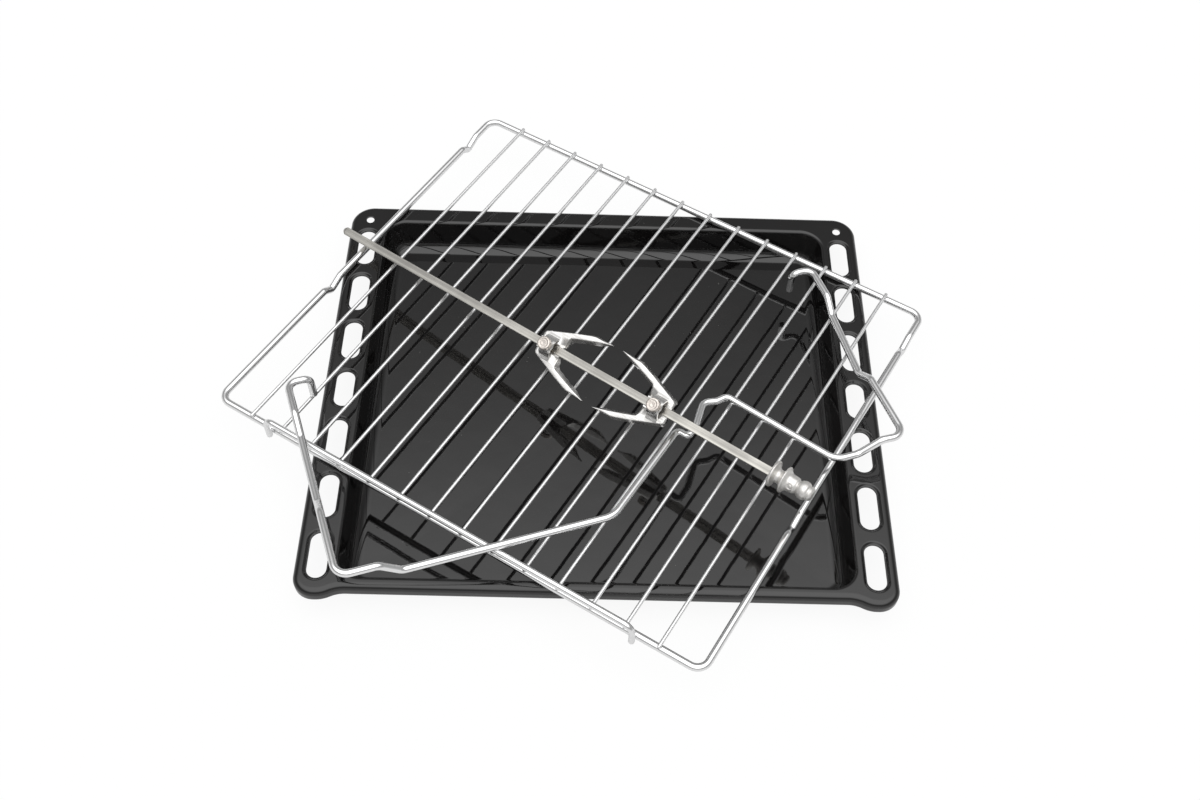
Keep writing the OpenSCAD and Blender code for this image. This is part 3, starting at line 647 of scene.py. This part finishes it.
def cradleCorners(c):
    origin, first, second, up = cradlePlane(c)

    def at(s, t, n):
        return origin + s * first + t * second + n * up

    lift, low, leg, peak, length = c["cornerLift"], c["legLift"], c["leg"], c["bump"], c["length"]
    step = leg / 186

    def left(t, n):
        return at(c["leftSplay"] * t / leg, t, n)

    def right(t, n, out=0):
        return at(length + c["rightSplay"] * t / leg + out, t, n)

    drop = np.array([0, 0, c["hookDrop"]])
    leftEnd = at(c["leftSplay"] + c["hookReach"], leg, lift)
    rightEnd = at(length + c["rightSplay"] - c["hookReach"], leg, lift)
    leftLeg = [(leftEnd - drop, 0), (leftEnd, 6), (left(leg, lift), 8), (left(154 * step, lift), 8),
               (left(136 * step, low), 8), (left(71.5 * step, low), 8), (left(58 * step, lift), 8),
               (left(0, lift), 10)]
    bar = [(at(30, 0, lift), 9), (at(46, 0, 0), 9), (at(206.5, 0, 0), 20), (at(280.8, peak - 21, 0), 4),
           (at(286.7, peak - 20.5 - c["notch"], 0), 3.5), (at(297.5, peak - 20, 0), 14), (at(311, peak, 0), 8),
           (at(321.5, peak - 2, 0), 6), (at(331.5, peak, 0), 5), (at(389, 0, 0), 16), (at(length - 36, 0, 0), 9),
           (at(length - 19, -1.15, lift), 9)]
    rightLeg = [(right(-2.3, lift), 10), (right(58 * step, lift, -1.8), 8), (right(71.5 * step, low, -4.3), 8),
                (right(137.5 * step, low), 8), (right(153 * step, lift, 1), 8), (right(leg, lift), 8),
                (rightEnd, 6), (rightEnd - drop, 0)]
    return leftLeg + bar + rightLeg


cradlePiece = wirePiece("cradleWire", onShelf(bentLine(cradleCorners(cradle))), cradle["wire"] / 2, chrome, 36)
place(cradlePiece, "cradle", "chrome_wire", "cradle_wire")
print("cradle made")

# Spit: its own frame comes from the joints, x along the bar, y to the far prongs, z out of the forks

spit = {
    "bar": 7, "length": 444.4, "forkPlace": 219.9, "forkLength": 60.2, "tipGap": 9.2, "screwX": 11,
    "jointHeight": 12, "flange": 21.6, "journal": 11.2, "fitting": 35, "pin": 3.2, "pinTurn": 28,
}
joints = {j["name"]: j for j in frame["joints"]}
spitX = unit(np.array(joints["left_fork_slide"]["axis"], float))
spitZ = unit(np.array(joints["left_screw_turn"]["axis"], float))
spitY = np.cross(spitZ, spitX)
spitTip = (np.array(joints["left_screw_turn"]["pos_m"], float) / mm - spit["jointHeight"] * spitZ
           - (spit["forkPlace"] + spit["screwX"]) * spitX)
spitTurn = Matrix((spitX, spitY, spitZ)).to_euler()  # brings the grain of the bar's finish in line with it


def onSpit(points):
    return spitTip + np.asarray(points, float) @ np.array([spitX, spitY, spitZ])


def makeBar(s, material):
    # square section with rounded edges; towards the tip it is cut by a cone
    half, edge = s["bar"] / 2, 0.55
    quarter = [(half - edge + edge * math.cos(a), half - edge + edge * math.sin(a))
               for a in np.radians(np.linspace(0, 90, 6))]
    section = []
    for k in range(4):
        c, d = math.cos(k * math.pi / 2), math.sin(k * math.pi / 2)
        side = quarter + [(y, half) for y in (half - edge - 0.25, half - edge - 0.9, 0, edge + 0.9 - half,
                                             edge + 0.25 - half)]
        section += [(c * y - d * z, d * y + c * z) for y, z in side]
    section = np.array(section)
    reach = np.hypot(section[:, 0], section[:, 1])
    blunt = s["bar"] * 0.3
    stations = np.concatenate([[0, 0.15, 0.5], np.linspace(1, 5, 14), np.linspace(8, s["length"] + 3, 90)])
    cone = blunt + stations * 0.714 - 0.25 * (stations < 0.1) - 0.05 * (stations < 0.3)
    share = np.minimum(1, cone[:, None] / reach)
    yz = section[None] * share[..., None]
    points = np.concatenate([np.broadcast_to(stations[:, None, None], yz.shape[:2] + (1,)), yz], -1)
    cols = len(section)
    faces = gridFaces(len(stations), cols)
    faces.append(list(range(cols))[::-1])
    faces.append([(len(stations) - 1) * cols + i for i in range(cols)])
    return makeObject("spitBar", onSpit(points.reshape(-1, 3)), faces, material, 30)


satin = metalMaterial("satinBar", barSteel, (0.004, 1, 1), spitTurn, 620, 24, (0.000008, 0.000012))
place(makeBar(spit, satin), "spit", "spit_steel", "spit_bar")


def fittingProfile(s):
    # (along, radius): two flanges with a waist between, a cone, a groove, a ball and the end journal
    f, j, end = s["flange"] / 2, s["journal"] / 2, s["fitting"]
    first = [(0, 3.4), (0, f - 1.2), (0.25, f - 0.45), (1.2, f), (2.15, f - 0.45), (2.5, f - 1.6)]
    waist = [(3.1, 7.9), (4.3, 6.1), (6.2, 5.55), (8.0, 6.1), (9.2, 7.9)]
    second = [(9.75, f - 1.6), (10.1, f - 0.45), (10.9, f), (11.7, f - 0.45), (12.2, f - 1.5)]
    cone = [(12.9, 8.5), (14.4, 7.3), (16.4, 6.95), (18.6, 6.75), (20.2, 6.55), (21.3, 5.9), (22.1, 5.45)]
    ball = [(23.0, 5.75), (24.4, 6.75), (26.2, 7.3), (28.0, 7.38), (29.7, 6.95), (30.8, 6.1)]
    tail = [(31.2, j + 0.05), (33.2, j), (34.3, j - 0.7), (34.9, j - 2.0), (end, j - 3.2), (end, 0.35)]
    return smoothProfile(first + waist + second + cone + ball + tail, 6)


def pinDirection(s):
    a = math.radians(s["pinTurn"])
    return math.cos(a) * spitZ - math.sin(a) * spitY


def makeFitting(s, material):
    pinAt = s["fitting"] / 2
    lean = math.radians(s["pinTurn"])

    def sunk(t, a, radii):
        # a shallow ring-shaped recess round both ends of the cross pin
        y, z = radii * np.cos(a), radii * np.sin(a)
        across = np.abs(y * math.cos(lean) + z * math.sin(lean))
        away = np.hypot(t - pinAt, across)
        return radii - 0.75 * smoothStep((2.5 - away) / 0.8)

    return turnedPiece("spitEnd", fittingProfile(s), 112, spitTip + s["length"] * spitX, spitX, spitY, material,
                       shape=sunk)


cast = metalMaterial("castEnd", castSteel, fine=700, coarse=120, depths=(0.00004, 0.00002))
place(makeFitting(spit, cast), "spit", "cast_end", "spit_end")
pinHalf = 6.6
pinProfile = [(-pinHalf, 0.2), (-pinHalf, 1.1), (-pinHalf + 0.15, 1.4), (-pinHalf + 0.5, 1.6), (pinHalf - 0.5, 1.6),
              (pinHalf - 0.15, 1.4), (pinHalf, 1.1), (pinHalf, 0.2)]
pinPiece = turnedPiece("endPin", pinProfile, 40, spitTip + (spit["length"] + spit["fitting"] / 2) * spitX,
                       pinDirection(spit), spitX, cast)
place(pinPiece, "spit", "cast_end", "end_pin")
print("spit made")

# Forks, in their own frame: x from the back towards the tips, y to a prong, z out of the face

fork = {
    "sheet": 1.2, "reach": 26, "top": 1.5, "depth": 6, "knee": 41, "rootEnd": 22.6,
    "hoodStart": 5.8, "hoodEnd": 16.2, "hood": 9.3, "hoodSheet": 1.5, "boss": 10.9, "bossR": 4.7,
    "headR": 5.6, "headHeight": 4.2, "shank": 5,
}


def alongPath(points, x):
    p = np.array(points, float)
    return np.interp(x, p[:, 0], p[:, 1])


def makeProng(f, length):
    # a pressed channel: at each x a flat web between two flanks that meet it in small rounded folds
    knee, reach, top, sheet = f["knee"], f["reach"], f["top"], f["sheet"]
    x = np.concatenate([np.linspace(0, 2.4, 9), np.linspace(3, 15, 20), np.linspace(15.5, f["rootEnd"], 14),
                        np.linspace(f["rootEnd"] + 0.2, 27.4, 22), np.linspace(28, knee - 2, 16),
                        np.linspace(knee - 1.5, knee + 3, 10), np.linspace(knee + 4, length - 0.4, 22), [length]])
    outerLow = alongPath([(0, 9.6), (0.7, 11.1), (2.4, 12), (knee - 2, reach - 0.75), (knee, reach - 0.12),
                          (knee + 2, reach), (length, reach - 0.35)], x)
    outerFold = alongPath([(0, 8.4), (2.4, 10.4), (8.7, 12.9), (25.8, 19.5), (knee - 2, 23.9), (knee + 2, 24.8),
                           (51.6, 24.95), (length, 25.7)], x)
    innerFold = alongPath([(0, 5), (14.5, 5), (16, 11.2), (31.8, 16.8), (45.5, 21.3), (53.4, 23.6),
                           (length, 25.55)], x)
    innerLow = alongPath([(0, 4.8), (f["rootEnd"], 4.8), (23.8, 7.3), (24.2, 9.4), (25.2, 11.2), (27, 12.8),
                          (38.7, 17.1), (50, 20.9), (length, 25.5)], x)
    outerFold = np.minimum(outerFold, outerLow - 0.1)
    innerFold = np.maximum(innerFold, innerLow + 0.02)
    innerFold, outerFold = np.minimum(innerFold, outerFold - 0.05), outerFold
    depth = f["depth"] * (1 - 0.8 * smoothStep((x - knee - 4) / (length - knee - 4)))
    back = 2.2 - np.sqrt(2.2**2 - (2.2 - np.minimum(x, 2.2)) ** 2)
    root = smoothStep((x - f["rootEnd"] + 0.6) / 2.6)
    valley = 2.6 * smoothStep((x - 14.5) / 7)  # the plate beside the bar dips towards the root
    innerDrop = valley + (depth - valley) * root

    def surface(inset):
        # inset is the sheet's thickness for the hollow side and 0 for the top side
        middle = (outerLow + innerLow) / 2
        outLow, outFold = (np.maximum(line - inset, middle + 0.01) for line in (outerLow, outerFold))
        inLow, inFold = (np.minimum(line + inset * root, middle - 0.01) for line in (innerLow, innerFold))
        inFold = np.where(x < 15, innerFold, np.minimum(inFold, outFold - 0.02))
        high = top - inset - back
        corners = [(outLow, top - depth), (outFold, high), (inFold, high), (inLow, top - innerDrop - inset * (1 - root))]
        corners = [np.stack([np.broadcast_to(y, x.shape), np.minimum(z, high)], -1) for y, z in corners]
        soft = np.minimum(0.85, 0.42 * np.linalg.norm(corners[1] - corners[2], axis=1))[:, None]

        def fold(before, at, after):
            # quadratic curve that rounds a fold: (1 - s)^2 a + 2 s (1 - s) at + s^2 b
            def towards(goal):
                run = np.linalg.norm(goal - at, axis=1)[:, None]
                return at + (goal - at) * np.minimum(soft / np.maximum(run, 1e-6), 0.45)
            a, b = towards(before), towards(after)
            return [(1 - q) ** 2 * a + 2 * q * (1 - q) * at + q**2 * b for q in np.linspace(0, 1, 6)]

        rows = [corners[0], corners[0] * 0.6 + corners[1] * 0.4] + fold(*corners[:3])
        rows += [corners[1] * 0.5 + corners[2] * 0.5] + fold(*corners[1:])
        rows += [corners[2] * 0.4 + corners[3] * 0.6, corners[3]]
        yz = np.stack(rows, 1)
        across = np.broadcast_to(np.minimum(x * (1 - inset / length) + inset, length)[:, None], yz.shape[:2])
        return np.concatenate([across[..., None], yz], -1)

    section = np.concatenate([surface(0.0), surface(sheet)[:, ::-1]], 1)
    cols = section.shape[1]
    faces = gridFaces(len(x), cols)
    faces.append(list(range(cols)))
    faces.append([(len(x) - 1) * cols + i for i in range(cols)][::-1])
    return section.reshape(-1, 3), faces


def makeSwept(section, x):
    # closed section of (y, z) points carried straight along x
    section = np.asarray(section, float)
    cols = len(section)
    points = np.concatenate([np.broadcast_to(np.asarray(x, float)[:, None, None], (len(x), cols, 1)),
                             np.broadcast_to(section, (len(x), cols, 2))], -1)
    faces = gridFaces(len(x), cols)
    faces.append(list(range(cols)))
    faces.append([(len(x) - 1) * cols + i for i in range(cols)][::-1])
    return points.reshape(-1, 3), faces


def hoodSection(f):
    # half round hood over the bar whose feet run out onto the prongs
    r, t, top = f["hood"], f["hoodSheet"], f["top"]
    a = np.radians(np.linspace(18, 162, 40))
    foot = [(r + 2.6, top + 0.02), (r + 1.5, top + 0.35), (r + 0.55, top + 1.0)]
    over = foot + [(r * math.cos(x), r * math.sin(x)) for x in a] + [(-y, z) for y, z in reversed(foot)]
    under = [(-r - 2.4, top - 0.5), (-r + t - 0.4, top - 0.6)]
    under += [((r - t) * math.cos(x), (r - t) * math.sin(x)) for x in a[::-1]]
    return over + under + [(-y, z) for y, z in reversed([(-r - 2.4, top - 0.5), (-r + t - 0.4, top - 0.6)])]


def strapSection(f, half):
    # U round the sides and the underside of the bar
    t, run, top = f["sheet"], 0.05, f["top"]
    i, o = half + run, half + run + t
    return [(o, top - 0.1), (i, top - 0.1), (i, -i), (-i, -i), (-i, top - 0.1), (-o, top - 0.1), (-o, -o + 0.4),
            (-o + 0.4, -o), (o - 0.4, -o), (o, -o + 0.4)]


def makeFork(name, f, s, origin, direction, material):
    parts = []
    points, faces = makeProng(f, s["forkLength"])
    parts.append((points, [q[::-1] for q in faces]))
    parts.append((points * [1, -1, 1], faces))
    parts.append(makeSwept(hoodSection(f)[::-1], np.linspace(f["hoodStart"], f["hoodEnd"], 8)))
    parts.append(makeSwept(strapSection(f, s["bar"] / 2), [0, f["rootEnd"]]))
    a = np.linspace(0, 2 * math.pi, 48, endpoint=False)
    bore = f["shank"] / 2 + 0.05
    ring = [(f["bossR"] + 1.3, 7.6), (f["bossR"] + 0.5, 8.6), (f["bossR"], 9.5), (f["bossR"], f["boss"] - 0.3),
            (f["bossR"] - 0.3, f["boss"]), (bore, f["boss"]), (bore, 7.6)]
    boss = np.array([[(s["screwX"] + r * math.cos(x), r * math.sin(x), z) for x in a] for r, z in ring])
    parts.append((boss.reshape(-1, 3), gridFaces(len(ring), 48, wrapRows=True)))
    every, numbered, start = [], [], 0
    for points, faces in parts:
        every.append(points)
        numbered += [[start + i for i in q] for q in faces]
        start += len(points)
    local = np.vstack(every) * [direction, direction, 1] + [origin, 0, 0]
    made = makeObject(name, onSpit(local), numbered, material)
    work = bmesh.new()
    work.from_mesh(made.data)
    bmesh.ops.remove_doubles(work, verts=work.verts, dist=1e-7)
    bmesh.ops.recalc_face_normals(work, faces=work.faces)
    work.to_mesh(made.data)
    work.free()
    made.data.polygons.foreach_set("use_smooth", np.ones(len(made.data.polygons), bool))
    made.data.set_sharp_from_angle(angle=math.radians(38))
    return made


def makeScrew(name, f, s, origin, direction, material):
    # pan head with a raised rim and a faint ring, on a plain shank
    r, low = f["headR"], f["boss"] + rest
    high = low + f["headHeight"]
    profile = [(s["bar"] / 2 + 0.1, 0.2), (s["bar"] / 2 + 0.1, 2.0), (s["bar"] / 2 + 0.6, 2.5), (low, 2.5), (low, 2.5),
               (low, r - 0.5), (low + 0.15, r - 0.15), (low + 0.5, r), (high - 1.1, r), (high - 0.45, r - 0.18),
               (high - 0.1, r - 0.65), (high, r - 1.1), (high, r - 1.55), (high - 0.12, r - 1.85),
               (high - 0.3, r - 2.1), (high - 0.3, 2.4), (high - 0.2, 2.2), (high - 0.2, 2.0), (high - 0.32, 1.75),
               (high - 0.34, 0.8), (high - 0.5, 0.5), (high - 0.52, 0.1)]
    centre = onSpit([[origin + direction * s["screwX"], 0, 0]])[0]
    return turnedPiece(name, smoothProfile(profile, 4), 64, centre, spitZ, spitX, material)


pressed = metalMaterial("pressedSteel", forkSteel, (0.12, 1, 1), spitTurn, 800, 60, (0.000018, 0.000005))
turned = metalMaterial("turnedSteel", screwSteel, fine=1100, coarse=160, depths=(0.00005, 0.00002))
farPlace = spit["forkPlace"] + 2 * spit["forkLength"] + spit["tipGap"]
for name, origin, direction in (("left", spit["forkPlace"], 1), ("right", farPlace, -1)):
    piece = makeFork(f"{name}Fork", fork, spit, origin, direction, pressed)
    place(piece, f"{name}_fork", "pressed_steel", f"{name}_fork")
    piece = makeScrew(f"{name}ClampScrew", fork, spit, origin, direction, turned)
    place(piece, f"{name}_screw", "screw_steel", f"{name}_clamp_screw")
print("forks made")

# Floor, light and camera

studio = {
    "floorColour": (0.62, 0.62, 0.62, 1), "floorGlow": 0.86, "mirroredGlow": 0.25, "floorSize": 30000,
    "ambient": 0.22, "overhead": 9.8, "tightness": 14.6, "cap": 1.7, "horizon": 0.3,
    "sideways": 0.6, "forwards": 0.42,
}


def makeFloor(s):
    half = s["floorSize"] / 2
    shader = Shader("paleFloor")
    surface = shader.surface
    surface.inputs["Base Color"].default_value = s["floorColour"]
    surface.inputs["Roughness"].default_value = 0.9
    surface.inputs["Specular IOR Level"].default_value = 0.0
    rays = shader.node("ShaderNodeLightPath").outputs
    mirrored = shader.maths("MULTIPLY", rays["Is Glossy Ray"], s["mirroredGlow"])
    seen = shader.maths("MAXIMUM", shader.maths("MULTIPLY", rays["Is Camera Ray"], s["floorGlow"]), mirrored)
    glow = shader.node("ShaderNodeEmission", Color=(1, 1, 1, 1), Strength=1.06)
    mix = shader.node("ShaderNodeMixShader")
    shader.link(seen, mix.inputs[0])
    shader.link(surface.outputs[0], mix.inputs[1])
    shader.link(glow.outputs[0], mix.inputs[2])
    shader.link(mix.outputs[0], shader.tree.nodes["Material Output"].inputs["Surface"])
    points = [(-half, -half, 0), (half, -half, 0), (half, half, 0), (-half, half, 0)]
    made = makeObject("floor", points, [[0, 1, 2, 3]], shader.material)


def makeWorld(s):
    # a wide soft light overhead, longest from side to side and towards the camera. With the direction
    # (x, y, z) and y' = y behind the object, forwards * y in front of it:
    # q = z / |(sideways * x, y', z)|, t = overhead * q^tightness,
    # light = ambient + t / sqrt(1 + (t / cap)^2) + horizon * (1 - z)^2.5
    world = bpy.data.worlds.new("studio")
    world.use_nodes = True
    scene.world = world
    tree = world.node_tree
    tree.nodes.clear()

    def maths(kind, *values):
        made = tree.nodes.new("ShaderNodeMath")
        made.operation = kind
        for socket, value in zip(made.inputs, values):
            if isinstance(value, bpy.types.NodeSocket):
                tree.links.new(value, socket)
            else:
                socket.default_value = value
        return made.outputs[0]

    axes = tree.nodes.new("ShaderNodeSeparateXYZ")
    tree.links.new(tree.nodes.new("ShaderNodeTexCoord").outputs["Generated"], axes.inputs[0])
    x, y, z = axes.outputs
    high = maths("MINIMUM", maths("MAXIMUM", z, 0.0), 1.0)
    deep = maths("ADD", maths("MAXIMUM", y, 0.0), maths("MULTIPLY", maths("MINIMUM", y, 0.0), s["forwards"]))
    wide = maths("POWER", maths("MULTIPLY", x, s["sideways"]), 2.0)
    length = maths("SQRT", maths("MULTIPLY_ADD", high, high, maths("MULTIPLY_ADD", deep, deep, wide)))
    peak = maths("MULTIPLY", maths("POWER", maths("DIVIDE", high, length), s["tightness"]), s["overhead"])
    ratio = maths("DIVIDE", peak, s["cap"])
    capped = maths("DIVIDE", peak, maths("SQRT", maths("MULTIPLY_ADD", ratio, ratio, 1.0)))
    low = maths("MULTIPLY_ADD", maths("POWER", maths("SUBTRACT", 1.0, high), 2.5), s["horizon"], s["ambient"])
    light, white, mix = (tree.nodes.new(f"ShaderNode{kind}") for kind in ("Background", "Background", "MixShader"))
    tree.links.new(maths("ADD", capped, low), light.inputs["Strength"])
    tree.links.new(tree.nodes.new("ShaderNodeLightPath").outputs["Is Camera Ray"], mix.inputs[0])
    tree.links.new(light.outputs[0], mix.inputs[1])
    tree.links.new(white.outputs[0], mix.inputs[2])
    for background in (light, white):
        background.inputs["Color"].default_value = (1, 1, 1, 1)
    tree.links.new(mix.outputs[0], tree.nodes.new("ShaderNodeOutputWorld").inputs["Surface"])


cameraSet = {
    "place": (-8.9, -620.3, 876.8), "azimuth": -1.38, "elevation": 56.16, "roll": 2.53,
    "lens": 38.2, "shiftX": -0.005, "shiftY": 0.03265,
}


def makeCamera(c):
    az, el, roll = (math.radians(c[k]) for k in ("azimuth", "elevation", "roll"))
    back = Vector((math.sin(az) * math.cos(el), -math.cos(az) * math.cos(el), math.sin(el)))
    right = Vector((math.cos(az), math.sin(az), 0))
    up = back.cross(right)
    tilted = math.cos(roll) * right + math.sin(roll) * up
    made = bpy.data.objects.new("camera", bpy.data.cameras.new("camera"))
    made.data.lens, made.data.sensor_width = c["lens"], 36
    made.data.shift_x, made.data.shift_y = c["shiftX"], c["shiftY"]
    made.data.clip_start, made.data.clip_end = 0.02, 60
    turn = Matrix((tilted, back.cross(tilted), back)).transposed().to_4x4()
    made.matrix_world = Matrix.Translation(Vector(c["place"]) * mm) @ turn
    scene.collection.objects.link(made)
    scene.camera = made


makeFloor(studio)
makeWorld(studio)
makeCamera(cameraSet)
scene.view_settings.view_transform = "Standard"
print("studio made")
